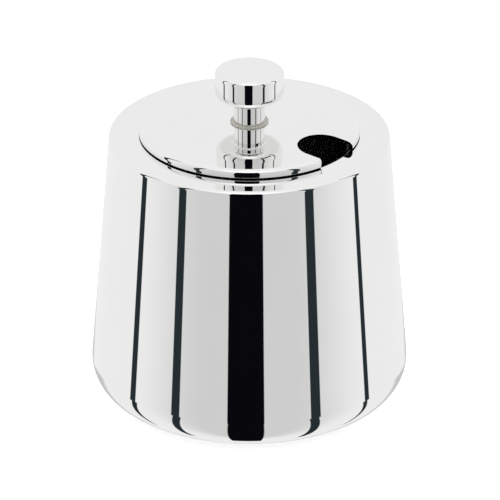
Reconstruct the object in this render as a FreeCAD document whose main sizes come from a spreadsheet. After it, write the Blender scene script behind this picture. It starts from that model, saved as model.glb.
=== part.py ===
import FreeCAD, Part
import math
import os
import Sketcher

# Stainless sugar bowl: a tapered bowl with a closed shoulder, and a lift-off lid with a spoon notch.
# Millimetres, +Z up. The origin is the centre of the face that the bowl stands on.
# Every sheet-metal piece is drawn as the section of its sheet and turned about Z.

SIZES = [
    ("sheet", 0.8, "thickness of all sheet metal"),
    # bowl
    ("wall_radius", 45.0, "outer wall carried down to the standing face"),
    ("wall_taper", 4.65, "lean of the wall from the vertical, degrees"),
    ("shoulder_height", 77.3, "top of the flat shoulder"),
    ("shoulder_round", 1.2, "outer rounding between wall and shoulder"),
    ("neck_radius", 29.2, "inside of the neck"),
    ("neck_round", 0.9, "turned-down lip between shoulder and neck"),
    ("neck_depth", 5.0, "shoulder to the neck's lower edge"),
    ("seam_height", 9.8, "weld between wall and base"),
    ("base_round", 9.4, "outer rounding of the base"),
    ("stand_radius", 32.0, "inner edge of the standing ring"),
    ("kick_up", 1.2, "rise of the base inside the standing ring"),
    ("kick_width", 2.0, "width of the slope up from the standing ring"),
    # lid
    ("lid_radius", 30.45, "outside of the lid's turned-down rim"),
    ("lid_height", 3.35, "shoulder to the knob's seat"),
    ("lid_dome", 500.0, "radius of the lid's shallow dome"),
    ("lid_round", 1.5, "outer rounding of the lid's rim"),
    ("seat_radius", 5.0, "flat under the knob washer"),
    ("rim_break", 0.5, "rounded lower edge of the rim"),
    ("notch_azimuth", -36.2, "direction of the spoon notch from +X, degrees"),
    ("notch_reach", 18.0, "lid centre to the notch's inner end"),
    ("notch_half_width", 6.6, "half the notch's width"),
    ("notch_end_round", 6.5, "rounding of the notch's inner end"),
    ("notch_mouth_round", 0.4, "rounded corners where the notch meets the rim"),
    ("notch_mouth_angle", 13.1, "notch axis to where those corners meet the rim, degrees"),
    ("ring_clearance", 0.3, "radial play of the locating ring in the neck"),
    ("ring_depth", 4.5, "locating ring below the shoulder"),
    ("ring_gap_margin", 0.8, "locating ring stops this far outside the notch"),
    # knob and its fastening
    ("knob_radius", 9.6, "head"),
    ("knob_top", 96.2, "overall height of the lidded bowl"),
    ("knob_bottom", 87.65, "underside of the head"),
    ("knob_top_round", 1.4, "top edge of the head"),
    ("knob_under_round", 2.7, "lower edge of the head"),
    ("stem_radius", 4.3, "stem"),
    ("stem_blend", 0.6, "blend between stem and head"),
    ("nylon_radius", 5.3, "nylon washer"),
    ("nylon_thickness", 0.4, "nylon washer"),
    ("screw_radius", 1.95, "outside of the M4 thread"),
    ("tapped_radius", 2.0, "tapped hole in the stem, and the lid's hole"),
    ("washer_hole", 2.15, "hole in both washers"),
    ("washer_radius", 4.5, "steel washer"),
    ("screw_length", 9.5, "under the screw's head"),
    ("screw_chamfer", 0.6, "tip of the screw"),
    ("tapped_depth", 9.0, "full depth of the tapped hole"),
    ("screw_head_radius", 4.0, "pan head"),
    ("screw_head_height", 2.4, "pan head"),
    ("screw_head_round", 1.8, "pan head's domed edge"),
    ("recess_depth", 1.4, "cross recess"),
    ("recess_reach", 2.2, "cross recess, centre to tip"),
    ("recess_half_width", 0.55, "half the width of a recess arm"),
]

doc = FreeCAD.newDocument("sugar_bowl")
sheet = doc.addObject("Spreadsheet::Sheet", "sizes")
for row, (alias, value, meaning) in enumerate(SIZES, start=1):
    sheet.set(f"A{row}", meaning)
    sheet.set(f"B{row}", str(value))
    sheet.setAlias(f"B{row}", alias)
doc.recompute()

# Derived heights and radii, as expressions over the sheet.
WALL_SLOPE = "tan(sizes.wall_taper * 1 deg)"
INNER_WALL = "(sizes.wall_radius - sizes.sheet / cos(sizes.wall_taper * 1 deg))"
SEAT_TOP = "(sizes.shoulder_height + sizes.lid_height)"
SEAT_UNDER = f"({SEAT_TOP} - sizes.sheet)"
STEM_FOOT = f"({SEAT_TOP} + sizes.nylon_thickness)"
SCREW_BEARING = f"({SEAT_UNDER} - sizes.sheet)"
DOME_CENTRE = f"({SEAT_TOP} - sqrt(pow(sizes.lid_dome; 2) - pow(sizes.seat_radius; 2)))"
RING_RADIUS = "(sizes.neck_radius - sizes.ring_clearance)"
RING_TOP = f"({DOME_CENTRE} + sqrt(pow(sizes.lid_dome - sizes.sheet; 2) - pow({RING_RADIUS}; 2)))"


def wall_at(height, start="sizes.wall_radius"):
    """Radius of the tapered wall at a height."""
    return f"{start} - ({height}) * {WALL_SLOPE}"


def origin_plane(body, role):
    """One of a body's own origin planes."""
    return next(f for f in body.Origin.OriginFeatures if f.Role == role)


def new_body(name):
    body = doc.addObject("PartDesign::Body", name)
    body.Label = name
    return body


def new_sketch(body, name, role):
    sketch = body.newObject("Sketcher::SketchObject", name)
    sketch.AttachmentSupport = [(origin_plane(body, role), "")]
    sketch.MapMode = "FlatFace"
    return sketch


def bind(sketch, kind, geometry, expression):
    """Adds a dimension whose value follows an expression. geometry is what the constraint acts on."""
    value = number(sketch, expression)
    index = sketch.addConstraint(Sketcher.Constraint(kind, *geometry, value))
    sketch.setExpression(f"Constraints[{index}]", expression)


def number(sketch, expression):
    """What an expression over the sheet comes to."""
    value = sketch.evalExpression(expression)
    return float(getattr(value, "Value", value))


def place_point(sketch, point, x, y):
    """Holds a sketch point at (x, y), each an expression or plain 0."""
    for kind, axis, expression in (("DistanceX", -2, x), ("DistanceY", -1, y)):
        if expression == "0":
            sketch.addConstraint(Sketcher.Constraint("PointOnObject", *point, axis))
        elif number(sketch, expression) < 0:
            bind(sketch, kind, (*point, -1, 1), f"-({expression})")
        else:
            bind(sketch, kind, (-1, 1, *point), expression)


def join(sketch, first, second, smooth):
    """Joins two neighbouring curves where their ends meet, in a smooth run or at a corner."""
    kind = "Tangent" if smooth else "Coincident"
    for end in (1, 2):
        for start in (1, 2):
            gap = sketch.getPoint(first, end) - sketch.getPoint(second, start)
            if gap.Length < 1e-6:
                sketch.addConstraint(Sketcher.Constraint(kind, first, end, second, start))
                return (second, start)
    raise RuntimeError(f"curves {first} and {second} of {sketch.Name} don't meet")


def outline(sketch, corners):
    """A closed outline through corners of (x, y) or (x, y, rounding), all expressions."""
    points = [FreeCAD.Vector(number(sketch, c[0]), number(sketch, c[1]), 0) for c in corners]
    count = len(corners)
    starts, ends, arcs = list(points), list(points), [None] * count
    for i, corner in enumerate(corners):
        if len(corner) < 3:
            continue
        radius = number(sketch, corner[2])
        back = (points[i - 1] - points[i]).normalize()
        ahead = (points[(i + 1) % count] - points[i]).normalize()
        half = back.getAngle(ahead) / 2
        bisector = (back + ahead).normalize()
        centre = points[i] + bisector * (radius / math.sin(half))
        ends[i] = points[i] + back * (radius / math.tan(half))
        starts[i] = points[i] + ahead * (radius / math.tan(half))
        arcs[i] = Part.Arc(ends[i], centre - bisector * radius, starts[i])
    lines = [
        sketch.addGeometry(Part.LineSegment(starts[i], ends[(i + 1) % count]))
        for i in range(count)
    ]
    for i, corner in enumerate(corners):
        before, after = lines[i - 1], lines[i]
        if arcs[i] is None:
            corner_point = join(sketch, before, after, smooth=False)
            place_point(sketch, corner_point, corner[0], corner[1])
            continue
        arc = sketch.addGeometry(arcs[i])
        apex = sketch.addGeometry(Part.Point(points[i]), True)
        join(sketch, before, arc, smooth=True)
        join(sketch, arc, after, smooth=True)
        sketch.addConstraint(Sketcher.Constraint("PointOnObject", apex, 1, before))
        sketch.addConstraint(Sketcher.Constraint("PointOnObject", apex, 1, after))
        place_point(sketch, (apex, 1), corner[0], corner[1])
        bind(sketch, "Radius", (arc,), corner[2])


def revolve(body, name, sketch):
    revolution = body.newObject("PartDesign::Revolution", name + "_turned")
    revolution.Profile = sketch
    revolution.ReferenceAxis = (sketch, ["V_Axis"])
    revolution.Angle = 360
    doc.recompute()


def turn(body, name, corners):
    """Turns a section, drawn in the XZ plane, a full turn about Z."""
    sketch = new_sketch(body, name + "_section", "XZ_Plane")
    outline(sketch, corners)
    revolve(body, name, sketch)


def cut_down_notch_axis(body, name, corners):
    """Cuts straight through along Z with an outline whose first axis points along the notch."""
    sketch = new_sketch(body, name + "_outline", "XY_Plane")
    sketch.AttachmentOffset = FreeCAD.Placement(
        FreeCAD.Vector(), FreeCAD.Rotation(FreeCAD.Vector(0, 0, 1), sheet.notch_azimuth)
    )
    sketch.setExpression("AttachmentOffset.Rotation.Angle", "sizes.notch_azimuth")
    outline(sketch, corners)
    cut_through(body, name, sketch)


def cut_through(body, name, sketch):
    doc.recompute()
    before = body.Shape.Volume
    pocket = body.newObject("PartDesign::Pocket", name)
    pocket.Profile = sketch
    pocket.Type = "ThroughAll"
    pocket.Reversed = True
    doc.recompute()
    if body.Shape.Volume > before - 1:
        raise RuntimeError(f"{name} cut nothing from {body.Label}")


def make_body_shell():
    """Tapered wall, flat shoulder and turned-down neck from one sheet, open at the base."""
    body = new_body("body_shell")
    inner_shoulder = "sizes.shoulder_height - sizes.sheet"
    neck_foot = "sizes.shoulder_height - sizes.neck_depth"
    turn(body, "shell", [
        (wall_at("sizes.seam_height"), "sizes.seam_height"),
        (wall_at("sizes.shoulder_height"), "sizes.shoulder_height", "sizes.shoulder_round"),
        ("sizes.neck_radius", "sizes.shoulder_height", "sizes.neck_round"),
        ("sizes.neck_radius", neck_foot),
        ("sizes.neck_radius + sizes.sheet", neck_foot),
        ("sizes.neck_radius + sizes.sheet", inner_shoulder, "sizes.neck_round - sizes.sheet"),
        (wall_at(inner_shoulder, INNER_WALL), inner_shoulder,
         "sizes.shoulder_round - sizes.sheet"),
        (wall_at("sizes.seam_height", INNER_WALL), "sizes.seam_height"),
    ])


def make_base_pan():
    """Pressed base: an upright edge, a large rounded corner, a standing ring and a raised middle."""
    body = new_body("base_pan")
    outside_edge = wall_at("sizes.seam_height")
    inside_edge = wall_at("sizes.seam_height", INNER_WALL)
    slope_top = "sizes.stand_radius - sizes.kick_width"
    bend = "sizes.sheet"
    turn(body, "pan", [
        (inside_edge, "sizes.seam_height"),
        (inside_edge, "sizes.sheet", "sizes.base_round - sizes.sheet"),
        ("sizes.stand_radius", "sizes.sheet"),
        (slope_top, "sizes.kick_up + sizes.sheet", bend),
        ("0", "sizes.kick_up + sizes.sheet"),
        ("0", "sizes.kick_up"),
        (slope_top, "sizes.kick_up"),
        ("sizes.stand_radius", "0", bend),
        (outside_edge, "0", "sizes.base_round"),
        (outside_edge, "sizes.seam_height"),
    ])


def arc_about(centre, radius, start, end):
    """Arc about a centre between two directions in radians, counter-clockwise."""
    return Part.ArcOfCircle(Part.Circle(centre, FreeCAD.Vector(0, 0, 1), radius), start, end)


def draw_lid_section(sketch):
    """Section of the lid's sheet: flat seat, dome, rounded rim and its turned-down edge."""
    thickness, rounding, rim = sheet.sheet, sheet.lid_round, sheet.lid_radius
    bore, seat, brk = sheet.tapped_radius, sheet.seat_radius, sheet.rim_break
    foot = sheet.shoulder_height
    top = number(sketch, SEAT_TOP)
    under = top - thickness
    inner_dome = sheet.lid_dome - thickness
    dome_centre = FreeCAD.Vector(0, number(sketch, DOME_CENTRE), 0)
    rise = math.sqrt((sheet.lid_dome - rounding) ** 2 - (rim - rounding) ** 2)
    rim_centre = dome_centre + FreeCAD.Vector(rim - rounding, rise, 0)
    lean = math.atan2(rise, rim - rounding)
    seat_under = math.sqrt(inner_dome**2 - (under - dome_centre.y) ** 2)
    break_centre = FreeCAD.Vector(rim - brk, foot + brk, 0)

    def line(x0, y0, x1, y1):
        return Part.LineSegment(FreeCAD.Vector(x0, y0, 0), FreeCAD.Vector(x1, y1, 0))

    curves = [
        line(bore, top, seat, top),
        arc_about(dome_centre, sheet.lid_dome, lean, math.atan2(top - dome_centre.y, seat)),
        arc_about(rim_centre, rounding, 0, lean),
        line(rim, rim_centre.y, rim, foot + brk),
        arc_about(break_centre, brk, -math.pi / 2, 0),
        line(rim - brk, foot, rim - thickness, foot),
        line(rim - thickness, foot, rim - thickness, rim_centre.y),
        arc_about(rim_centre, rounding - thickness, 0, lean),
        arc_about(dome_centre, inner_dome, lean,
                  math.atan2(under - dome_centre.y, seat_under)),
        line(seat_under, under, bore, under),
        line(bore, under, bore, top),
    ]
    ids = [sketch.addGeometry(curve) for curve in curves]
    (seat_line, dome, rim_arc, rim_line, break_arc, foot_line,
     inner_line, inner_arc, inner_dome_arc, under_line, bore_line) = ids
    smooth_after = {dome, rim_arc, rim_line, break_arc, inner_line, inner_arc}
    for before, after in zip(ids, ids[1:] + ids[:1]):
        join(sketch, before, after, smooth=before in smooth_after)
    for upright in (rim_line, bore_line):
        sketch.addConstraint(Sketcher.Constraint("Vertical", upright))
    for level in (foot_line, under_line):
        sketch.addConstraint(Sketcher.Constraint("Horizontal", level))
    sketch.addConstraint(Sketcher.Constraint("PointOnObject", dome, 3, -2))
    sketch.addConstraint(Sketcher.Constraint("Coincident", inner_dome_arc, 3, dome, 3))
    sketch.addConstraint(Sketcher.Constraint("Coincident", inner_arc, 3, rim_arc, 3))
    place_point(sketch, (seat_line, 1), "sizes.tapped_radius", SEAT_TOP)
    place_point(sketch, (seat_line, 2), "sizes.seat_radius", SEAT_TOP)
    bind(sketch, "DistanceX", (-1, 1, rim_line, 1), "sizes.lid_radius")
    bind(sketch, "DistanceY", (-1, 1, foot_line, 1), "sizes.shoulder_height")
    bind(sketch, "DistanceY", (-1, 1, under_line, 1), SEAT_UNDER)
    bind(sketch, "Radius", (dome,), "sizes.lid_dome")
    bind(sketch, "Radius", (inner_dome_arc,), "sizes.lid_dome - sizes.sheet")
    bind(sketch, "Radius", (rim_arc,), "sizes.lid_round")
    bind(sketch, "Radius", (break_arc,), "sizes.rim_break")


def make_lid_disc():
    """Shallow domed lid with a turned-down rim, pierced for the knob's screw and the spoon."""
    body = new_body("lid_disc")
    sketch = new_sketch(body, "lid_section", "XZ_Plane")
    draw_lid_section(sketch)
    revolve(body, "lid", sketch)

    side = "sizes.notch_half_width"
    tilt = "(sizes.notch_mouth_angle * 1 deg)"
    beyond = "(sizes.notch_half_width + 2 * sizes.notch_mouth_round)"
    outside = "(sizes.lid_radius + 2 * sizes.notch_mouth_round)"
    mouth = f"(sizes.lid_radius - {side} * sin{tilt}) / cos{tilt}"
    mouth_end = f"(sizes.lid_radius - {beyond} * sin{tilt}) / cos{tilt}"
    cut_down_notch_axis(body, "spoon_notch", [
        ("sizes.notch_reach", f"-{side}", "sizes.notch_end_round"),
        (mouth, f"-{side}", "sizes.notch_mouth_round"),
        (mouth_end, f"-{beyond}"),
        (outside, f"-{beyond}"),
        (outside, beyond),
        (mouth_end, beyond),
        (mouth, side, "sizes.notch_mouth_round"),
        ("sizes.notch_reach", side, "sizes.notch_end_round"),
    ])


def make_locating_ring():
    """Hoop spot-welded under the lid, which fits the neck and is open at the spoon notch."""
    body = new_body("lid_locating_ring")
    foot = "sizes.shoulder_height - sizes.ring_depth"
    turn(body, "ring", [
        (f"{RING_RADIUS} - sizes.sheet", foot),
        (RING_RADIUS, foot),
        (RING_RADIUS, RING_TOP),
        (f"{RING_RADIUS} - sizes.sheet", RING_TOP),
    ])
    side = "(sizes.notch_half_width + sizes.ring_gap_margin)"
    cut_down_notch_axis(body, "ring_gap", [
        ("sizes.notch_reach", f"-{side}"),
        ("sizes.lid_radius", f"-{side}"),
        ("sizes.lid_radius", side),
        ("sizes.notch_reach", side),
    ])


def make_knob():
    """Turned head and stem in one piece, with a blind tapped hole up the stem."""
    body = new_body("knob")
    hole_end = f"{STEM_FOOT} + sizes.tapped_depth"
    turn(body, "knob", [
        ("sizes.tapped_radius", STEM_FOOT),
        ("sizes.stem_radius", STEM_FOOT),
        ("sizes.stem_radius", "sizes.knob_bottom", "sizes.stem_blend"),
        ("sizes.knob_radius", "sizes.knob_bottom", "sizes.knob_under_round"),
        ("sizes.knob_radius", "sizes.knob_top", "sizes.knob_top_round"),
        ("0", "sizes.knob_top"),
        ("0", f"{hole_end} + sizes.tapped_radius / 2"),
        ("sizes.tapped_radius", hole_end),
    ])


def make_washer(name, foot, thickness, radius):
    turn(new_body(name), name, [
        ("sizes.washer_hole", foot),
        (radius, foot),
        (radius, f"{foot} + {thickness}"),
        ("sizes.washer_hole", f"{foot} + {thickness}"),
    ])


def make_knob_screw():
    """Pan-head screw from inside the lid, with a cross recess."""
    body = new_body("knob_screw")
    head_face = f"({SCREW_BEARING} - sizes.screw_head_height)"
    tip = f"({SCREW_BEARING} + sizes.screw_length)"
    turn(body, "screw", [
        ("0", head_face),
        ("sizes.screw_head_radius", head_face, "sizes.screw_head_round"),
        ("sizes.screw_head_radius", SCREW_BEARING),
        ("sizes.screw_radius", SCREW_BEARING),
        ("sizes.screw_radius", f"{tip} - sizes.screw_chamfer"),
        ("sizes.screw_radius - sizes.screw_chamfer", tip),
        ("0", tip),
    ])
    sketch = new_sketch(body, "recess_outline", "XY_Plane")
    sketch.setExpression("AttachmentOffset.Base.z", head_face)
    reach, half = "sizes.recess_reach", "sizes.recess_half_width"
    outline(sketch, [
        (reach, f"-{half}"), (reach, half), (half, half), (half, reach),
        (f"-{half}", reach), (f"-{half}", half), (f"-{reach}", half), (f"-{reach}", f"-{half}"),
        (f"-{half}", f"-{half}"), (f"-{half}", f"-{reach}"), (half, f"-{reach}"),
        (half, f"-{half}"),
    ])
    doc.recompute()
    before = body.Shape.Volume
    recess = body.newObject("PartDesign::Pocket", "recess")
    recess.Profile = sketch
    recess.setExpression("Length", "sizes.recess_depth")
    recess.Reversed = True
    doc.recompute()
    if body.Shape.Volume > before - 1:
        raise RuntimeError("the recess cut nothing from knob_screw")


def check_model():
    """Stops if any object failed or any piece isn't one valid solid."""
    for item in doc.Objects:
        if "Invalid" in item.State or "Error" in item.State:
            raise RuntimeError(f"{item.Name} failed: {item.State}")
    for body in doc.findObjects("PartDesign::Body"):
        shape = body.Shape
        if shape.isNull() or not shape.isValid() or len(shape.Solids) != 1:
            raise RuntimeError(f"{body.Label} isn't one valid solid")


make_body_shell()
make_base_pan()
make_lid_disc()
make_locating_ring()
make_knob()
make_washer("knob_washer", SEAT_TOP, "sizes.nylon_thickness", "sizes.nylon_radius")
make_knob_screw()
make_washer("knob_screw_washer", SCREW_BEARING, "sizes.sheet", "sizes.washer_radius")
doc.recompute()
check_model()

os.makedirs("parts", exist_ok=True)
for piece in doc.findObjects("PartDesign::Body"):
    piece.Shape.exportStep(f"parts/{piece.Label}.step")
    box = piece.Shape.BoundBox
    print(f"{piece.Label}: {piece.Shape.Volume:.1f} mm3, z {box.ZMin:.3f} to {box.ZMax:.3f}")
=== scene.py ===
"""Looks of the stainless sugar bowl: finely turned meshes around the CAD frame, polished steel and
a white studio. Lengths are millimetres, unless a comment says otherwise; Blender gets metres."""

import math

import bmesh
import bpy
import numpy as np
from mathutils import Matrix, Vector, geometry


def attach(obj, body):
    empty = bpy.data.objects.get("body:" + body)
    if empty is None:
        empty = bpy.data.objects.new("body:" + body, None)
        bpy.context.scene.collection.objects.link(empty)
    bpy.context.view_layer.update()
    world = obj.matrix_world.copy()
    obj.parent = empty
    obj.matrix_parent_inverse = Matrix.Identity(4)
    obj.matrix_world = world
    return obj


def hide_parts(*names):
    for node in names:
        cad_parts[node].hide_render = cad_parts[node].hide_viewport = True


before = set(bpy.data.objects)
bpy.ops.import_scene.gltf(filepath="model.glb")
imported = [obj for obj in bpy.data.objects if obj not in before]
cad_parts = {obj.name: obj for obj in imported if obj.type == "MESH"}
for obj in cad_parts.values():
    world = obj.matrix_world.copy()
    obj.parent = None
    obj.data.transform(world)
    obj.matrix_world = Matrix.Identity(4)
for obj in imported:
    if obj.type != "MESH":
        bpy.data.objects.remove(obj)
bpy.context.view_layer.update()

MM = 0.001
SEGMENTS = 288  # facets round a full turn of the larger pieces
ARC_STEP = math.radians(7.5)  # facets along a rounding

# Sizes as in the CAD model.
SHEET = 0.8
WALL_RADIUS = 45.0
WALL_SLOPE = math.tan(math.radians(4.65))
SHOULDER = 77.3
SHOULDER_ROUND = 1.2
NECK_RADIUS = 29.2
NECK_ROUND = 0.9
NECK_DEPTH = 5.0
SEAM = 9.8
BASE_ROUND = 9.4
STAND_RADIUS = 32.0  # inner edge of the standing ring
KICK_UP = 1.2  # rise of the base inside that ring
KICK_WIDTH = 2.0
SEAT_TOP = 80.65
SEAT_RADIUS = 5.0
DOME = 500.0
LID_RADIUS = 30.45
LID_ROUND = 1.5
RIM_BREAK = 0.5
NOTCH_DIRECTION = math.radians(-36.2)
NOTCH_REACH = 18.0
NOTCH_HALF = 6.6
NOTCH_END_ROUND = 6.5
NOTCH_MOUTH_ROUND = 0.4
NOTCH_MOUTH_TURN = math.radians(13.1)  # from the notch's axis to its corners at the rim
BORE = 2.0
BORE_BREAK = 0.15  # rounded edges of the lid's bore
NYLON_THICKNESS = 0.4
STEM_FOOT = SEAT_TOP + NYLON_THICKNESS
SCREW_BEARING = 79.05
WASHER_HOLE = 2.15
RING_RADIUS = 28.9
RING_DEPTH = 4.5
RING_GAP_MARGIN = 0.8  # the ring stops this far outside the notch
STEM_RADIUS = 4.3
KNOB_RADIUS = 9.6
KNOB_BOTTOM = 87.65
KNOB_TOP = 96.2
TAPPED_DEPTH = 9.0
TAPPED_TIP = 1.0  # the drill's cone beyond it


# ---------------------------------------------------------------- outlines and meshes

def left_of(d):
    return Vector((-d.y, d.x))


def turned_by(d, angle):
    c, s = math.cos(angle), math.sin(angle)
    return Vector((c * d.x - s * d.y, s * d.x + c * d.y))


def rounded(corners, closed=True):
    """Samples along an anticlockwise outline of corners (x, y, rounding): the point, and the
    outward normals just before and just after it."""
    points = [Vector(c[:2]) for c in corners]
    count = len(points)
    samples = []
    for i, corner in enumerate(corners):
        here = points[i]
        back = (here - points[i - 1]).normalized()
        ahead = (points[(i + 1) % count] - here).normalized()
        if not closed and i == 0:
            back = ahead
        if not closed and i == count - 1:
            ahead = back
        radius = corner[2] if len(corner) > 2 else 0.0
        bend = math.atan2(back.cross(ahead), back.dot(ahead))
        if not radius:
            samples.append((here, -left_of(back), -left_of(ahead)))
            continue
        side = math.copysign(radius, bend)
        centre = here - back * radius * math.tan(abs(bend) / 2) + left_of(back) * side
        steps = max(2, math.ceil(abs(bend) / ARC_STEP))
        for k in range(steps + 1):
            d = turned_by(back, bend * k / steps)
            samples.append((centre - left_of(d) * side, -left_of(d), -left_of(d)))
    return samples


class Shape:
    """Points in millimetres, faces, and one normal for each corner of each face."""

    def __init__(self):
        self.points, self.faces, self.normals = [], [], []

    def row(self, points):
        start = len(self.points)
        self.points.extend(points)
        return list(range(start, len(self.points)))

    def face(self, corners, normals=None):
        if normals is None:
            p = [Vector(self.points[c]) for c in corners]
            flat = geometry.normal(p)
            normals = [flat] * len(corners)
        self.faces.append(corners)
        self.normals.extend(normals)

    def band(self, first, second, first_normals=None, second_normals=None, closed=True):
        """Quads between two rows that run the same way. A row of one point is a pole."""
        count = max(len(first), len(second))
        for j in range(count if closed else count - 1):
            k = (j + 1) % count
            corners, normals = [], []
            for row, row_normals, index in (
                (first, first_normals, j), (first, first_normals, k),
                (second, second_normals, k), (second, second_normals, j),
            ):
                point = row[index % len(row)]
                if point in corners:
                    continue
                corners.append(point)
                if row_normals is not None:
                    normals.append(row_normals[index])
            self.face(corners, normals if len(normals) == len(corners) else None)

    def build(self, name):
        mesh = bpy.data.meshes.new(name)
        mesh.from_pydata([Vector(p) * MM for p in self.points], [], self.faces)
        mesh.polygons.foreach_set("use_smooth", [True] * len(mesh.polygons))
        mesh.normals_split_custom_set([Vector(n).normalized() for n in self.normals])
        return link(name, mesh)


def link(name, mesh):
    mesh.validate(clean_customdata=False)
    piece = bpy.data.objects.new(name, mesh)
    bpy.context.scene.collection.objects.link(piece)
    return piece


def circle(radius, z, segments=SEGMENTS, start=0.0):
    step = 2 * math.pi / segments
    return [(radius * math.cos(start + step * j), radius * math.sin(start + step * j), z)
            for j in range(segments)]


def revolve(shape, corners, segments=SEGMENTS, closed=True):
    """Turns an outline of (radius, z, rounding) about Z. Returns the rows of points."""
    samples = rounded(corners, closed)
    rows = []
    for point, _, _ in samples:
        if point.x < 1e-6:
            rows.append(shape.row([(0.0, 0.0, point.y)]))
        else:
            rows.append(shape.row(circle(point.x, point.y, segments)))
    pairs = list(zip(range(len(rows)), range(1, len(rows))))
    if closed:
        pairs.append((len(rows) - 1, 0))
    for i, k in pairs:
        after = circle(samples[i][2].x, samples[i][2].y, segments)
        before = circle(samples[k][1].x, samples[k][1].y, segments)
        shape.band(rows[i], rows[k], after, before)
    return rows


def turned(name, corners, segments=SEGMENTS, closed=True):
    shape = Shape()
    revolve(shape, corners, segments, closed)
    return shape.build(name)


# ---------------------------------------------------------------- bowl

def wall_at(z, start=WALL_RADIUS):
    return start - z * WALL_SLOPE


INNER_WALL = WALL_RADIUS - SHEET * math.hypot(1, WALL_SLOPE)


def make_body_shell():
    under = SHOULDER - SHEET
    foot = SHOULDER - NECK_DEPTH
    return turned("bowl_shell", [
        (wall_at(SEAM), SEAM),
        (wall_at(SHOULDER), SHOULDER, SHOULDER_ROUND),
        (NECK_RADIUS, SHOULDER, NECK_ROUND),
        (NECK_RADIUS, foot, 0.35),
        (NECK_RADIUS + SHEET, foot, 0.35),
        (NECK_RADIUS + SHEET, under, 0.15),
        (wall_at(under, INNER_WALL), under, 0.4),
        (wall_at(SEAM, INNER_WALL), SEAM),
    ])


def make_base_pan():
    kick = STAND_RADIUS - KICK_WIDTH
    wide, tight = 1.6, 0.9  # roundings on the two sides of the sheet
    return turned("bowl_base", [
        (0, KICK_UP),
        (kick, KICK_UP, wide),
        (STAND_RADIUS, 0, tight),
        (wall_at(SEAM), 0, BASE_ROUND),
        (wall_at(SEAM), SEAM),
        (wall_at(SEAM, INNER_WALL), SEAM),
        (wall_at(SEAM, INNER_WALL), SHEET, BASE_ROUND - SHEET),
        (STAND_RADIUS, SHEET, wide),
        (kick, KICK_UP + SHEET, tight),
        (0, KICK_UP + SHEET),
    ], closed=False)


# ---------------------------------------------------------------- lid

class LidProfile:
    """The lid's outer surface by distance s along its section from the centre: seat, dome,
    rounded rim and turned-down edge."""

    def __init__(self):
        self.centre = SEAT_TOP - math.sqrt(DOME**2 - SEAT_RADIUS**2)
        self.start = math.asin(SEAT_RADIUS / DOME)
        rim_centre = LID_RADIUS - LID_ROUND
        self.lean = math.asin(rim_centre / (DOME - LID_ROUND))
        self.rim_height = self.centre + (DOME - LID_ROUND) * math.cos(self.lean)
        self.round_start = SEAT_RADIUS + DOME * (self.lean - self.start)
        self.round_end = self.round_start + LID_ROUND * (math.pi / 2 - self.lean)
        self.length = self.round_end + self.rim_height - SHOULDER

    def at(self, s):
        """Radius, height and the normal's tilt from the vertical."""
        if s < SEAT_RADIUS:
            return s, SEAT_TOP, 0.0
        if s < self.round_start:
            tilt = self.start + (s - SEAT_RADIUS) / DOME
            return DOME * math.sin(tilt), self.centre + DOME * math.cos(tilt), tilt
        if s < self.round_end:
            tilt = self.lean + (s - self.round_start) / LID_ROUND
            return (LID_RADIUS - LID_ROUND + LID_ROUND * math.sin(tilt),
                    self.rim_height + LID_ROUND * math.cos(tilt), tilt)
        return LID_RADIUS, self.rim_height - (s - self.round_end), math.pi / 2

    def along(self, radius):
        """Distance along the section to a radius on the dome or the rounded rim."""
        if radius < SEAT_RADIUS:
            return radius
        tilt = math.asin(radius / DOME)
        if tilt < self.lean:
            return SEAT_RADIUS + DOME * (tilt - self.start)
        sine = min(1.0, (radius - LID_RADIUS + LID_ROUND) / LID_ROUND)
        return self.round_start + LID_ROUND * (math.asin(sine) - self.lean)

    def frame(self, s, angle):
        """Point, outward normal and the two directions along the surface."""
        radius, z, tilt = self.at(s)
        c, si = math.cos(angle), math.sin(angle)
        point = np.array((radius * c, radius * si, z))
        normal = np.array((math.sin(tilt) * c, math.sin(tilt) * si, math.cos(tilt)))
        down = np.array((math.cos(tilt) * c, math.cos(tilt) * si, -math.sin(tilt)))
        return point, normal, down, np.array((-si, c, 0.0))


def notch_side(profile):
    """One side of the notch on the flattened lid, with the notch along +X: from its inner end
    out to the rim's lower edge, as (x, y, how far the cut has turned into the rim)."""
    side = []
    steps = 24
    for k in range(steps + 1):
        turn = math.pi / 2 * k / steps
        side.append((NOTCH_REACH + NOTCH_END_ROUND * (1 - math.cos(turn)),
                     NOTCH_HALF - NOTCH_END_ROUND * (1 - math.sin(turn)), 0.0))
    height = NOTCH_HALF + NOTCH_MOUTH_ROUND
    centre_x = ((LID_RADIUS - NOTCH_MOUTH_ROUND - height * math.sin(NOTCH_MOUTH_TURN))
                / math.cos(NOTCH_MOUTH_TURN))
    gap = 0.4
    for x in np.arange(side[-1][0] + gap, centre_x, gap):
        side.append((x, NOTCH_HALF, 0.0))
    last = 0.0
    for k in range(40):
        turn = math.radians(2.5 * k)
        x = centre_x + NOTCH_MOUTH_ROUND * math.sin(turn)
        y = height - NOTCH_MOUTH_ROUND * math.cos(turn)
        radius, angle = math.hypot(x, y), math.atan2(y, x)
        if radius > LID_RADIUS - 0.004:
            break
        s = profile.along(radius)
        tilt = profile.at(s)[2]
        side.append((s * math.cos(angle), s * math.sin(angle), math.sin(tilt) ** 2))
        last = angle
    s = math.hypot(*side[-1][:2])
    while s < profile.length - 0.2:
        s += 0.15
        side.append((s * math.cos(last), s * math.sin(last), 1.0))
    return side


def smooth_line(points, passes):
    """Evens out a line of points, its ends fixed."""
    points = np.array(points)
    for _ in range(passes):
        points[1:-1] = (points[:-2] + 2 * points[1:-1] + points[2:]) / 4
    return points


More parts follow.
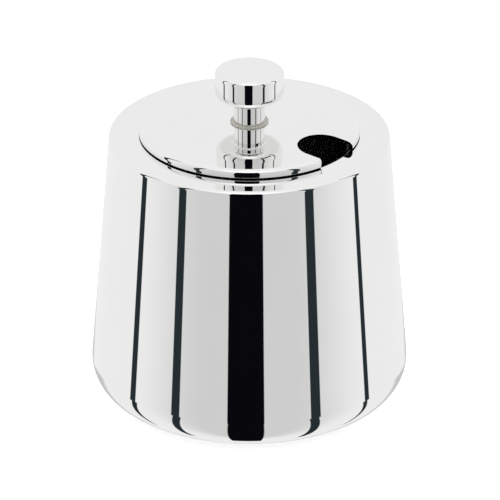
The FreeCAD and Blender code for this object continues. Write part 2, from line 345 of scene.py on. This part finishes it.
def spaced(points, gap):
    """The same line with even gaps."""
    points = np.array(points)
    lengths = np.concatenate(([0], np.cumsum(np.linalg.norm(np.diff(points[:, :2], axis=0), axis=1))))
    count = max(2, round(lengths[-1] / gap) + 1)
    wanted = np.linspace(0, lengths[-1], count)
    return np.stack([np.interp(wanted, lengths, points[:, i]) for i in range(points.shape[1])], 1)


def lid_boundary(profile):
    """The cut edge of the flattened lid, anticlockwise: rim, one side of the notch, its inner end
    and the other side. Columns: x, y, share of the rim's end, share of the rim's foot."""
    side = smooth_line(spaced(notch_side(profile), 0.2), 6)
    edge = profile.length
    mouth = math.atan2(side[-1][1], side[-1][0])
    corner = 0.7  # rounding where the rim's foot meets its end
    upper = side[np.hypot(side[:, 0], side[:, 1]) < edge - corner]
    upper = np.column_stack((upper, np.zeros(len(upper))))
    bend = []
    for k in range(1, 12):
        turn = math.pi / 2 * k / 12
        s = edge - corner * (1 - math.sin(turn))
        angle = mouth + corner * (1 - math.cos(turn)) / edge
        share = k / 12
        bend.append((s * math.cos(angle), s * math.sin(angle), 1 - share, share))
    start = mouth + corner / edge
    count = round(SEGMENTS * (2 * math.pi - 2 * start) / (2 * math.pi))
    rim = [(edge * math.cos(a), edge * math.sin(a), 0.0, 1.0)
           for a in np.linspace(start, 2 * math.pi - start, count)]
    half = np.concatenate((upper, bend))  # inner end to the foot, on the +Y side
    mirrored = half[::-1] * (1, -1, 1, 1)
    line = np.concatenate((rim, mirrored, half[1:]))
    angle = NOTCH_DIRECTION
    c, s = math.cos(angle), math.sin(angle)
    x, y = line[:, 0].copy(), line[:, 1].copy()
    line[:, 0], line[:, 1] = c * x - s * y, s * x + c * y
    return line


def edge_path(end_share, foot_share, steps):
    """How the cut edge runs across the sheet, from the outer to the inner surface: steps outwards
    and into the sheet. The sides have two small roundings, the rim's ends are fully rounded, and
    the rim's foot has a large outer rounding."""
    plain = rounded_edge(0.22, 0.18, steps)
    end = rounded_edge(0.5, 0.28, steps)
    foot = rounded_edge(RIM_BREAK, 0.15, steps)
    return (1 - end_share - foot_share) * plain + end_share * end + foot_share * foot


def rounded_edge(outer, inner, steps):
    path = []
    for k in range(steps + 1):
        turn = math.pi / 2 * k / steps
        path.append((outer * math.sin(turn), outer * (1 - math.cos(turn))))
    for k in range(steps + 1):
        turn = math.pi / 2 * k / steps
        path.append((outer - inner * (1 - math.cos(turn)), SHEET - inner * (1 - math.sin(turn))))
    return np.array(path)


def inside(polygon, points):
    """Which points lie inside a closed outline."""
    found = np.zeros(len(points), bool)
    ax, ay = polygon[:, 0], polygon[:, 1]
    bx, by = np.roll(ax, -1), np.roll(ay, -1)
    for x0, y0, x1, y1 in zip(ax, ay, bx, by):
        if y0 == y1:
            continue
        crossing = (points[:, 1] > min(y0, y1)) & (points[:, 1] <= max(y0, y1))
        found ^= crossing & (points[:, 0] < x0 + (points[:, 1] - y0) * (x1 - x0) / (y1 - y0))
    return found


def triangles(loops, extra):
    """Triangles of the region inside the first outline and outside the others."""
    points, edges = [], []
    for loop in loops:
        start = len(points)
        points.extend(loop)
        edges.extend((start + i, start + (i + 1) % len(loop)) for i in range(len(loop)))
    points = np.array(points + list(extra))
    found, _, faces, *_ = geometry.delaunay_2d_cdt(
        [Vector(p) for p in points], edges, [], 0, 1e-7, False)
    if len(found) != len(points):
        raise RuntimeError("points of the flattened outline coincide")
    faces = np.array(faces)
    middles = points[faces].mean(axis=1)
    keep = inside(np.array(loops[0]), middles)
    for hole in loops[1:]:
        keep &= ~inside(np.array(hole), middles)
    return points, faces[keep]


def distance_to(line, points):
    """Shortest distance from each point to the points of a line."""
    return np.array([np.min(np.hypot(line[:, 0] - p[0], line[:, 1] - p[1])) for p in points])


def make_lid():
    profile = LidProfile()
    line = lid_boundary(profile)
    steps = 6
    flat = np.hypot(line[:, 0], line[:, 1])
    angles = np.arctan2(line[:, 1], line[:, 0])
    frames = [profile.frame(s, a) for s, a in zip(flat, angles)]
    points = np.array([f[0] for f in frames])
    normals = np.array([f[1] for f in frames])
    ahead = np.roll(points, -1, axis=0) - np.roll(points, 1, axis=0)
    outward = np.cross(ahead, normals)
    outward /= np.linalg.norm(outward, axis=1)[:, None]

    rows, inset = [], []
    for k in range(len(line)):
        path = edge_path(line[k, 2], line[k, 3], steps)
        widest = path[:, 0].max()
        start = points[k] - outward[k] * widest
        rows.append([start + outward[k] * x - normals[k] * d for x, d in path])
        _, _, down, round_about = frames[k]
        shift = -outward[k] * widest
        s = flat[k] + shift @ down
        a = angles[k] + (shift @ round_about) / profile.at(flat[k])[0]
        inset.append((s * math.cos(a), s * math.sin(a)))
    rows = np.array(rows)  # boundary point, step across the sheet, xyz
    inset = np.array(inset)

    spots = []
    gap = 1.9
    rings = list(np.arange(4.0, 27.9, gap)) + list(np.linspace(28.0, profile.round_start, 2))
    rings += list(np.linspace(profile.round_start, profile.round_end, 13)[1:])
    rings += list(np.linspace(profile.round_end, profile.length - RIM_BREAK, 4)[1:-1])
    for s in rings:
        count = SEGMENTS if s > 27.9 else max(24, 12 * round(2 * math.pi * s / gap / 12))
        offset = 0.5 * (len(spots) % 2)
        for j in range(count):
            a = 2 * math.pi * (j + offset) / count
            spots.append((s * math.cos(a), s * math.sin(a)))
    spots = np.array(spots)
    near = 0.35
    spots = spots[inside(inset, spots)]
    spots = spots[distance_to(inset, spots) > near]
    bore = [(p[0], p[1]) for p in circle(BORE + BORE_BREAK, 0, 72)]
    plan, faces = triangles([list(map(tuple, inset)), bore], spots)

    shape = bmesh.new()
    outer, under, point_normals = [], [], {}

    def vertex(point, normal):
        v = shape.verts.new(Vector(point) * MM)
        point_normals[v] = Vector(normal).normalized()
        return v

    edge_count = len(inset)
    bore_count = len(bore)
    strip = [[None] * rows.shape[1] for _ in range(edge_count)]
    for i, (x, y) in enumerate(plan):
        s, a = math.hypot(x, y), math.atan2(y, x)
        point, normal, _, _ = profile.frame(s, a)
        if i < edge_count:
            outer.append(vertex(rows[i, 0], normals[i]))
            under.append(vertex(rows[i, -1], -normals[i]))
        else:
            outer.append(vertex(point, normal))
            under.append(vertex(point - SHEET * normal, -normal))
    across = np.gradient(rows, axis=1)
    along = np.roll(rows, -1, axis=0) - np.roll(rows, 1, axis=0)
    cross = np.cross(along, -across)
    cross /= np.linalg.norm(cross, axis=2)[:, :, None]
    for i in range(edge_count):
        strip[i][0], strip[i][-1] = outer[i], under[i]
        for j in range(1, rows.shape[1] - 1):
            strip[i][j] = vertex(rows[i, j], -cross[i, j])
    for a, b, c in faces:
        shape.faces.new((outer[a], outer[b], outer[c]))
        shape.faces.new((under[c], under[b], under[a]))
    for i in range(edge_count):
        k = (i + 1) % edge_count
        for j in range(rows.shape[1] - 1):
            shape.faces.new((strip[i][j], strip[i][j + 1], strip[k][j + 1], strip[k][j]))
    # The bore through the seat.
    bore_rows = [outer[edge_count:edge_count + bore_count]]
    for depth in (BORE_BREAK, SHEET - BORE_BREAK):
        ring = []
        for j in range(bore_count):
            a = 2 * math.pi * j / bore_count
            ring.append(vertex((BORE * math.cos(a), BORE * math.sin(a), SEAT_TOP - depth),
                               (-math.cos(a), -math.sin(a), 0)))
        bore_rows.append(ring)
    bore_rows.append(under[edge_count:edge_count + bore_count])
    for first, second in zip(bore_rows, bore_rows[1:]):
        for j in range(bore_count):
            k = (j + 1) % bore_count
            shape.faces.new((first[j], first[k], second[k], second[j]))
    bmesh.ops.join_triangles(
        shape, faces=[f for f in shape.faces if len(f.verts) == 3],
        angle_face_threshold=math.radians(12), angle_shape_threshold=math.radians(50))
    shape.verts.index_update()
    ordered = [point_normals[v] for v in shape.verts]
    for f in shape.faces:
        f.smooth = True
    mesh = bpy.data.meshes.new("lid_disc")
    shape.to_mesh(mesh)
    shape.free()
    mesh.normals_split_custom_set_from_vertices(ordered)
    return link("lid_plate", mesh)


def make_ring():
    """Hoop under the lid, open at the notch, with softened ends."""
    clear = NOTCH_HALF + RING_GAP_MARGIN
    opening = math.asin(clear / (RING_RADIUS - SHEET))
    break_round = 0.15
    top = LidProfile()
    ring_top = top.centre + math.sqrt((DOME - SHEET) ** 2 - RING_RADIUS ** 2)
    foot = SHOULDER - RING_DEPTH
    shape = Shape()
    turns = [NOTCH_DIRECTION + opening, NOTCH_DIRECTION + 2 * math.pi - opening]
    count = round(SEGMENTS * (turns[1] - turns[0]) / (2 * math.pi))
    stations = []  # (angle, inset, how far the normal has turned towards the end, which end)
    soft = [math.pi / 2 * k / 4 for k in range(4, 0, -1)]
    for turn in soft:
        stations.append((turns[0] + break_round * (1 - math.sin(turn)) / RING_RADIUS,
                         break_round * (1 - math.cos(turn)), turn, -1))
    for k in range(count + 1):
        share = k / count
        first = turns[0] + break_round / RING_RADIUS
        last = turns[1] - break_round / RING_RADIUS
        stations.append((first + (last - first) * share, 0.0, 0.0, 1))
    for turn in reversed(soft):
        stations.append((turns[1] - break_round * (1 - math.sin(turn)) / RING_RADIUS,
                         break_round * (1 - math.cos(turn)), turn, 1))
    rows, row_normals = [], []
    for angle, inset, turn, end in stations:
        rounding = 0.2 - inset
        samples = rounded([
            (RING_RADIUS - SHEET + inset, foot + inset, rounding),
            (RING_RADIUS - inset, foot + inset, rounding),
            (RING_RADIUS - inset, ring_top - inset, rounding),
            (RING_RADIUS - SHEET + inset, ring_top - inset, rounding),
        ])
        c, s = math.cos(angle), math.sin(angle)
        rows.append(shape.row([(p.x * c, p.x * s, p.y) for p, _, _ in samples]))
        lean, face = math.cos(turn), math.sin(turn) * end
        row_normals.append([(n.x * c * lean - s * face, n.x * s * lean + c * face, n.y * lean)
                            for _, n, _ in samples])
    for i in range(len(rows) - 1):
        shape.band(rows[i + 1], rows[i], row_normals[i + 1], row_normals[i])
    shape.face(rows[0])
    shape.face(rows[-1][::-1])
    return shape.build("lid_ring")


# ---------------------------------------------------------------- knob and its fastening

def make_knob():
    return turned("knob", [
        (0, STEM_FOOT + TAPPED_DEPTH + TAPPED_TIP),
        (BORE, STEM_FOOT + TAPPED_DEPTH),
        (BORE, STEM_FOOT, 0.15),
        (STEM_RADIUS, STEM_FOOT, 0.12),
        (STEM_RADIUS, KNOB_BOTTOM, 0.6),
        (KNOB_RADIUS, KNOB_BOTTOM, 2.7),
        (KNOB_RADIUS, KNOB_TOP, 1.4),
        (0, KNOB_TOP),
    ], segments=192, closed=False)


def make_washer(name, foot, thickness, inner, outer, rounding):
    return turned(name, [
        (inner, foot, rounding),
        (outer, foot, rounding),
        (outer, foot + thickness, rounding),
        (inner, foot + thickness, rounding),
    ], segments=144)


def cross_outline(reach, half, tip_round, inner_round):
    """Corners of a cross with rounded arms, anticlockwise."""
    corners = []
    for quarter in range(4):
        c, s = [(1, 0), (0, 1), (-1, 0), (0, -1)][quarter]
        for x, y, r in ((reach, -half, tip_round), (reach, half, tip_round),
                        (half, half, inner_round)):
            corners.append((c * x - s * y, s * x + c * y, r))
    return [tuple(p) for p, _, _ in rounded(corners)]


def make_screw():
    """Pan head with a cross recess, and a threaded shank."""
    head_radius, head_height, length, chamfer = 4.0, 2.4, 9.5, 0.6
    radius, depth, pitch = 1.95, 0.33, 0.7  # the thread's
    face = SCREW_BEARING - head_height
    tip = SCREW_BEARING + length
    segments = 64
    shape = Shape()
    head = revolve(shape, [
        (2.2, face),
        (head_radius, face, 1.75),
        (head_radius, SCREW_BEARING, 0.12),
        (radius, SCREW_BEARING),
    ], segments, closed=False)
    rows, row_normals = [head[-1]], [circle(1.0, 0.0, segments)]
    first, last = SCREW_BEARING + 0.15, tip - chamfer
    levels = np.arange(first, last, pitch / 10)
    for z in levels:
        fade = min(1.0, (z - first) / 0.5, (levels[-1] - z) / 0.4)
        points, normals = [], []
        for j in range(segments):
            a = 2 * math.pi * j / segments
            phase = 2 * math.pi * z / pitch - a
            r = radius - depth * fade * (1 - math.cos(phase)) / 2
            rise = -depth * fade * math.sin(phase) / 2
            c, s = math.cos(a), math.sin(a)
            lean = -rise / r
            points.append((r * c, r * s, z))
            normals.append((c + s * lean, s - c * lean, -rise * 2 * math.pi / pitch))
        rows.append(shape.row(points))
        row_normals.append(normals)
    slant = circle(0.7, 0.7, segments)
    rows.append(shape.row(circle(radius - chamfer, tip, segments)))
    for i in range(len(rows) - 2):
        shape.band(rows[i], rows[i + 1], row_normals[i], row_normals[i + 1])
    shape.band(rows[-2], rows[-1], slant, slant)
    shape.band(rows[-1], shape.row([(0, 0, tip)]))

    # Recess: a soft lip, drafted walls and a floor.
    # Levels: half the cross, half an arm's width, depth.
    levels = [(2.02, 0.50, 0.0), (1.95, 0.43, 0.02), (1.92, 0.40, 0.08), (1.45, 0.27, 1.25)]
    outlines = [cross_outline(reach, half, 0.16, 0.14) for reach, half, _ in levels]
    rims = [list(head[0])]
    for outline, (_, _, sunk) in zip(outlines, levels):
        rims.append(shape.row([(x, y, face + sunk) for x, y in outline]))
    ring = [shape.points[i][:2] for i in head[0]]
    _, faces = triangles([ring, outlines[0]], [])
    indices = rims[0] + rims[1]
    for a, b, c in faces:
        shape.face([indices[c], indices[b], indices[a]])
    for upper, lower in zip(rims[1:], rims[2:]):
        shape.band(lower, upper)
    _, faces = triangles([outlines[-1]], [])
    for a, b, c in faces:
        shape.face([rims[-1][c], rims[-1][b], rims[-1][a]])
    return shape.build("knob_screw_and_thread")


# ---------------------------------------------------------------- materials

def add(tree, kind, inputs=None, **settings):
    node = tree.nodes.new(kind)
    for key, value in settings.items():
        setattr(node, key, value)
    for key, value in (inputs or {}).items():
        if isinstance(value, bpy.types.NodeSocket):
            tree.links.new(value, node.inputs[key])
        else:
            node.inputs[key].default_value = value
    return node


def calc(tree, operation, *values, clamp=False):
    node = add(tree, "ShaderNodeMath", dict(enumerate(values)), operation=operation)
    node.use_clamp = clamp
    return node.outputs[0]


def soft_step(tree, value, start, end):
    """0 before start and 1 after end, eased in between."""
    node = add(tree, "ShaderNodeMapRange", {"Value": value, "From Min": start, "From Max": end},
               interpolation_type="SMOOTHSTEP")
    return node.outputs[0]


def blend(tree, share, first, second):
    first, second = [(*c, 1) if isinstance(c, tuple) else c for c in (first, second)]
    return add(tree, "ShaderNodeMix", {0: share, 6: first, 7: second},
               data_type="RGBA").outputs[2]


def new_material(name):
    material = bpy.data.materials.new(name)
    material.use_nodes = True
    tree = material.node_tree
    shader = tree.nodes["Principled BSDF"]
    return material, tree, shader


def noise(tree, vector, scale, detail=2.0, rough=0.5):
    node = add(tree, "ShaderNodeTexNoise", {
        "Vector": vector, "Scale": scale, "Detail": detail, "Roughness": rough})
    return node.outputs["Fac"]


def around_axis(tree):
    """Coordinates that follow a lathe: distance from the axis, height, and the turn squeezed, so
    that a pattern on them is drawn out into rings."""
    spot = add(tree, "ShaderNodeTexCoord").outputs["Object"]
    parts = add(tree, "ShaderNodeSeparateXYZ", {0: spot})
    x, y, z = parts.outputs
    radius = calc(tree, "SQRT", calc(tree, "ADD", calc(tree, "MULTIPLY", x, x),
                                     calc(tree, "MULTIPLY", y, y)))
    turn = calc(tree, "ABSOLUTE", calc(tree, "ARCTAN2", y, x))
    squeezed = calc(tree, "MULTIPLY", turn, 0.0015)
    ring = add(tree, "ShaderNodeCombineXYZ", {0: radius, 1: squeezed, 2: z}).outputs[0]
    return spot, ring, radius, z


SATIN_PAINTED_SHADE = 0.4  # painted shade: how much darker the satin parts are made, for the shadow inside the bowl, under its base and under the lid


def steel(name, colour, mirror, satin, satin_and_shade_where):
    """Stainless steel. mirror and satin are roughness ranges; the last argument picks the satin part,
    whose colour is also darkened as painted shade.
    """
    material, tree, shader = new_material(name)
    spot, ring, radius, z = around_axis(tree)
    where = satin_and_shade_where(tree, radius, z)
    grain = noise(tree, ring, 9000.0, 3.0, 0.6)
    cloud = noise(tree, spot, 45.0, 3.0)
    polish = noise(tree, spot, 6000.0, 2.0)
    shine = add(tree, "ShaderNodeMapRange", {
        "Value": calc(tree, "MULTIPLY", cloud, polish), "From Min": 0.1, "From Max": 0.45,
        "To Min": mirror[0], "To Max": mirror[1]}).outputs[0]
    brushed = add(tree, "ShaderNodeMapRange", {
        "Value": grain, "From Min": 0.3, "From Max": 0.7,
        "To Min": satin[0], "To Max": satin[1]}).outputs[0]
    rough = add(tree, "ShaderNodeMix", {0: where, 2: shine, 3: brushed}).outputs[0]
    tone = add(tree, "ShaderNodeMapRange", {
        "Value": cloud, "From Min": 0.3, "From Max": 0.7, "To Min": 0.985, "To Max": 1.0})
    tint = add(tree, "ShaderNodeMix", {6: (0, 0, 0, 1), 7: (*colour, 1)}, data_type="RGBA")
    # Painted shade: the colour of the satin parts is darkened, standing in for the shadow inside the
    # bowl, under its base and under the lid.
    painted_shade = calc(tree, "MULTIPLY_ADD", where, -SATIN_PAINTED_SHADE, 1.0)
    tree.links.new(calc(tree, "MULTIPLY", tone.outputs[0], painted_shade), tint.inputs[0])
    waves = add(tree, "ShaderNodeBump", {
        "Height": noise(tree, spot, 60.0, 1.0), "Distance": 1.5e-6, "Strength": 1.0})
    lines = add(tree, "ShaderNodeBump", {
        "Height": grain, "Distance": calc(tree, "MULTIPLY_ADD", where, 1.2e-6, 2.0e-9),
        "Strength": 1.0, "Normal": waves.outputs[0]})
    shader.inputs["Metallic"].default_value = 1.0
    tree.links.new(tint.outputs[2], shader.inputs["Base Color"])
    tree.links.new(rough, shader.inputs["Roughness"])
    tree.links.new(lines.outputs[0], shader.inputs["Normal"])
    return material


def nowhere(tree, radius, z):
    return calc(tree, "MULTIPLY", radius, 0.0)


def normal_parts(tree):
    """The true normal's outward and upward parts; the outward one is scaled by the radius."""
    normal = add(tree, "ShaderNodeNewGeometry").outputs["True Normal"]
    spot = add(tree, "ShaderNodeTexCoord").outputs["Object"]
    level = add(tree, "ShaderNodeVectorMath", {0: spot, 1: (1, 1, 0)}, operation="MULTIPLY")
    outward = add(tree, "ShaderNodeVectorMath", {0: normal, 1: level.outputs[0]},
                  operation="DOT_PRODUCT").outputs["Value"]
    up = add(tree, "ShaderNodeSeparateXYZ", {0: normal}).outputs[2]
    return outward, up


def bowl_inside(tree, radius, z):
    """The bowl's inner wall and floor, and the underside of the base inside the standing ring: satin,
    with painted shade darkening their colour.
    Heights and radii here are metres."""
    outward, up = normal_parts(tree)
    wall = soft_step(tree, outward, -0.0005, -0.002)
    floor = calc(tree, "MULTIPLY", soft_step(tree, up, 0.3, 0.6), soft_step(tree, z, 0.03, 0.02))
    under = calc(tree, "MULTIPLY", soft_step(tree, up, -0.3, -0.6),
                 soft_step(tree, radius, 0.0325, 0.0315))
    return calc(tree, "ADD", calc(tree, "ADD", wall, floor), under, clamp=True)


def lid_underside(tree, radius, z):
    """The lid's underside stays less polished, and painted shade darkens its colour."""
    return soft_step(tree, normal_parts(tree)[1], -0.3, -0.6)


def make_nylon():
    """Natural nylon: half clear, faintly yellow, smooth from the mould."""
    material, tree, shader = new_material("nylon")
    spot, ring, *_ = around_axis(tree)
    milky = noise(tree, spot, 900.0, 3.0)
    tint = blend(tree, milky, (0.95, 0.92, 0.78), (0.98, 0.96, 0.88))
    rough = add(tree, "ShaderNodeMapRange", {
        "Value": noise(tree, spot, 5000.0), "To Min": 0.1, "To Max": 0.22})
    bump = add(tree, "ShaderNodeBump", {
        "Height": noise(tree, ring, 6000.0, 2.0), "Distance": 4e-6, "Strength": 0.3})
    tree.links.new(tint, shader.inputs["Base Color"])
    tree.links.new(rough.outputs[0], shader.inputs["Roughness"])
    tree.links.new(bump.outputs[0], shader.inputs["Normal"])
    shader.inputs["Transmission Weight"].default_value = 0.3
    shader.inputs["IOR"].default_value = 1.53
    return material


# ---------------------------------------------------------------- studio

METAL = 0.90  # share of the light that the polished steel reflects

FRONT_LIGHT = 0.68  # brightness of the white walls in front of the bowl
SIDE_LIGHT = 0.92  # and beside and behind it
ZENITH = 1.25  # overhead, in front
SIDE_SKY = 0.95  # overhead, to the sides and behind
UNDER_BACK = 0.6  # below, behind the point where the cards' feet meet
SLATE = (0.021, 0.030, 0.035)
BLACK = (0.0030, 0.0027, 0.0044)
# Dark cards that stand round the bowl: middle, in degrees to the right of the camera's line, width
# in degrees, and colour.
CARDS = [
    (-92, 5.5, SLATE),
    (-54, 6.5, SLATE),
    (-2.5, 26, BLACK),
    (48, 7.5, SLATE),
    (93, 4.5, SLATE),
]
CARD_TOP = 45.0  # degrees above the horizon
BEND = 26.0  # degrees below the horizon at which the cards bend in under the bowl
FEET_MEET = 40.0  # degrees behind straight down of the point their feet draw together to
FOOT_END = 24.0  # degrees short of that point at which they end


def foot_turn(azimuth):
    """Where a card's edge stands at the bend, as seen from the point where the feet meet."""
    reach = 90 - BEND
    turn = math.radians(azimuth)
    return math.degrees(math.atan2(reach * math.sin(turn), reach * math.cos(turn) + FEET_MEET))


def between(tree, value, low, high, soft):
    return calc(tree, "MULTIPLY", soft_step(tree, value, low - soft, low + soft),
                soft_step(tree, value, high + soft, high - soft))


def make_world():
    """A white studio with dark cards, by direction alone."""
    world = bpy.data.worlds.new("studio")
    bpy.context.scene.world = world
    world.use_nodes = True
    tree = world.node_tree
    tree.nodes.clear()
    degrees = 180 / math.pi
    way = add(tree, "ShaderNodeTexCoord").outputs["Generated"]
    x, y, z = add(tree, "ShaderNodeSeparateXYZ", {0: way}).outputs
    turn = calc(tree, "ARCTAN2", x, calc(tree, "MULTIPLY", y, -1.0))
    azimuth = calc(tree, "MULTIPLY", turn, degrees)
    rise = calc(tree, "MULTIPLY", calc(tree, "ARCSINE", z), degrees)

    aside = calc(tree, "ABSOLUTE", azimuth)
    walls = blend(tree, soft_step(tree, aside, 30.0, 95.0), (FRONT_LIGHT,) * 3, (SIDE_LIGHT,) * 3)
    sky = blend(tree, soft_step(tree, aside, 15.0, 60.0), (ZENITH,) * 3, (SIDE_SKY,) * 3)
    colour = blend(tree, soft_step(tree, rise, 36.0, 56.0), walls, sky)

    # Below the bend, directions are laid out flat round straight down, in degrees.
    above = soft_step(tree, rise, -BEND - 0.5, -BEND + 0.5)
    under = calc(tree, "SUBTRACT", 1.0, above)
    reach = calc(tree, "SUBTRACT", 90.0, calc(tree, "ABSOLUTE", rise))
    right_of = calc(tree, "MULTIPLY", reach, calc(tree, "SINE", turn))
    front_of = calc(tree, "MULTIPLY", reach, calc(tree, "COSINE", turn))
    rear = soft_step(tree, front_of, -FEET_MEET, -FEET_MEET - 8.0)
    colour = blend(tree, calc(tree, "MULTIPLY", rear, under), colour, (UNDER_BACK,) * 3)
    along = calc(tree, "ADD", front_of, FEET_MEET)
    foot_azimuth = calc(tree, "MULTIPLY", calc(tree, "ARCTAN2", right_of, along), degrees)
    distance = calc(tree, "SQRT", calc(tree, "ADD", calc(tree, "MULTIPLY", right_of, right_of),
                                       calc(tree, "MULTIPLY", along, along)))
    standing = calc(tree, "MULTIPLY", above, soft_step(tree, rise, CARD_TOP + 1, CARD_TOP - 1))
    lying = calc(tree, "MULTIPLY", under, soft_step(tree, distance, FOOT_END - 1, FOOT_END + 1))
    for middle, width, dark in CARDS:
        left, right = middle - width / 2, middle + width / 2
        card = calc(tree, "MULTIPLY", between(tree, azimuth, left, right, 0.25), standing)
        foot = calc(tree, "MULTIPLY", lying, between(
            tree, foot_azimuth, foot_turn(left), foot_turn(right), 0.25))
        colour = blend(tree, calc(tree, "ADD", card, foot), colour, dark)

    seen = add(tree, "ShaderNodeBackground", {"Color": (1.1, 1.1, 1.1, 1)})
    lit = add(tree, "ShaderNodeBackground", {"Color": colour})
    mix = add(tree, "ShaderNodeMixShader", {
        0: add(tree, "ShaderNodeLightPath").outputs["Is Camera Ray"],
        1: lit.outputs[0], 2: seen.outputs[0]})
    out = add(tree, "ShaderNodeOutputWorld")
    tree.links.new(mix.outputs[0], out.inputs[0])
    world.cycles.sample_map_resolution = 2048


def make_floor():
    size = 12.0
    mesh = bpy.data.meshes.new("floor")
    mesh.from_pydata([(-size, -size, 0), (size, -size, 0), (size, size, 0), (-size, size, 0)],
                     [], [(0, 1, 2, 3)])
    floor = link("floor", mesh)
    floor.location.z = -2e-5
    material, _, shader = new_material("floor_white")
    shader.inputs["Base Color"].default_value = (0.9, 0.9, 0.9, 1)
    shader.inputs["Roughness"].default_value = 0.9
    shader.inputs["Specular IOR Level"].default_value = 0.0
    shader.inputs["Emission Color"].default_value = (1, 1, 1, 1)
    shader.inputs["Emission Strength"].default_value = 0.6
    mesh.materials.append(material)
    floor.visible_glossy = False


def make_camera():
    elevation, distance = math.radians(26.2), 1.3336
    data = bpy.data.cameras.new("camera")
    data.sensor_width = 36.0
    data.lens = 344.66
    data.shift_x, data.shift_y = 0.0012, 0.001
    data.clip_end = 50.0
    camera = bpy.data.objects.new("camera", data)
    bpy.context.scene.collection.objects.link(camera)
    target = Vector((0, 0, 0.04106))
    camera.location = target + distance * Vector((0, -math.cos(elevation), math.sin(elevation)))
    camera.rotation_euler = (target - camera.location).to_track_quat("-Z", "Y").to_euler()
    bpy.context.scene.camera = camera


make_camera()
make_world()
make_floor()
bpy.context.scene.view_settings.view_transform = "Standard"
bpy.context.scene.view_settings.look = "None"

BRIGHT = (METAL, METAL, METAL * 0.995)
polished = steel("polished_steel_bowl", BRIGHT, (0.012, 0.03), (0.2, 0.3), bowl_inside)
polished_lid = steel("polished_steel_lid", BRIGHT, (0.012, 0.03), (0.2, 0.3), lid_underside)
polished_knob = steel("polished_steel_knob", BRIGHT, (0.01, 0.025), (0.2, 0.3), nowhere)
inner = steel("inner_steel", (0.72, 0.71, 0.69), (0.2, 0.3), (0.2, 0.3), nowhere)
fastener = steel("fastener_steel", (0.62, 0.61, 0.6), (0.18, 0.28), (0.2, 0.3), nowhere)
nylon = make_nylon()

PIECES = [
    (make_body_shell(), "body_shell", "bowl", "polished_steel", polished),
    (make_base_pan(), "base_pan", "bowl", "polished_steel", polished),
    (make_lid(), "lid_disc", "lid", "polished_steel", polished_lid),
    (make_ring(), "lid_locating_ring", "lid", "inner_steel", inner),
    (make_knob(), "knob", "lid", "polished_steel", polished_knob),
    (make_washer("nylon_washer", SEAT_TOP, NYLON_THICKNESS, WASHER_HOLE, 5.3, 0.15),
     "knob_washer", "lid", "nylon", nylon),
    (make_screw(), "knob_screw", "lid", "fastener_steel", fastener),
    (make_washer("steel_washer", SCREW_BEARING, SHEET, WASHER_HOLE, 4.5, 0.12),
     "knob_screw_washer", "lid", "fastener_steel", fastener),
]
for piece, node, body, slot, material in PIECES:
    piece.data.materials.append(material)
    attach(piece, body)
    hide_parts(node)
